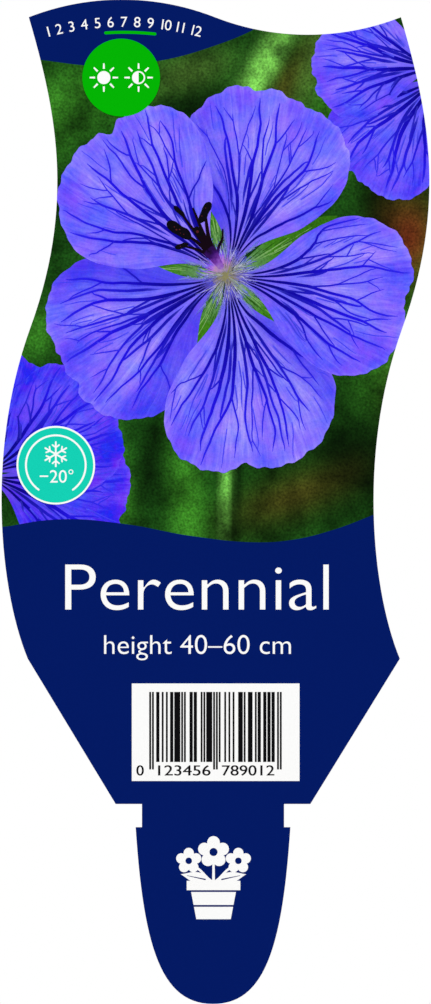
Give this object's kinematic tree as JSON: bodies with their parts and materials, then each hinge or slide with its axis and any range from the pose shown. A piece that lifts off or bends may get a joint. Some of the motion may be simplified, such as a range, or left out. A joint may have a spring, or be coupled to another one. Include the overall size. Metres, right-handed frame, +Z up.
{
  "type": "slot-in plant label",
  "caption": "Flat die-cut plastic plant label with a wavy printed head, sloping shoulders, a notched neck and a rounded tongue that latches in a slot in a pot's rim.",
  "frame": {"origin": "on the back face, in the middle of the neck, level with the undersides of the shoulders", "axes": "+Z up from the tongue to the head, +X to the right along the printed face, and the printed face looks along -Y"},
  "size_m": [0.0813, 0.0005, 0.1908],
  "materials": {
    "dark_blue_print": "polypropylene sheet under flat dark blue ink with a satin varnish",
    "white_polypropylene": "opaque white polypropylene sheet, smooth, its cut edge matt",
    "white_ink": "flat opaque white ink",
    "violet_flower_print": "violet petals with dark veins in process inks under a satin varnish",
    "foliage_print": "blurred garden greens in process inks under a satin varnish",
    "green_ink": "flat bright green ink under a satin varnish",
    "turquoise_ink": "flat turquoise ink under a satin varnish",
    "black_ink": "flat black ink"
  },
  "bodies": {
    "root": {"label_sheet": "dark_blue_print"}
  },
  "joints": []
}
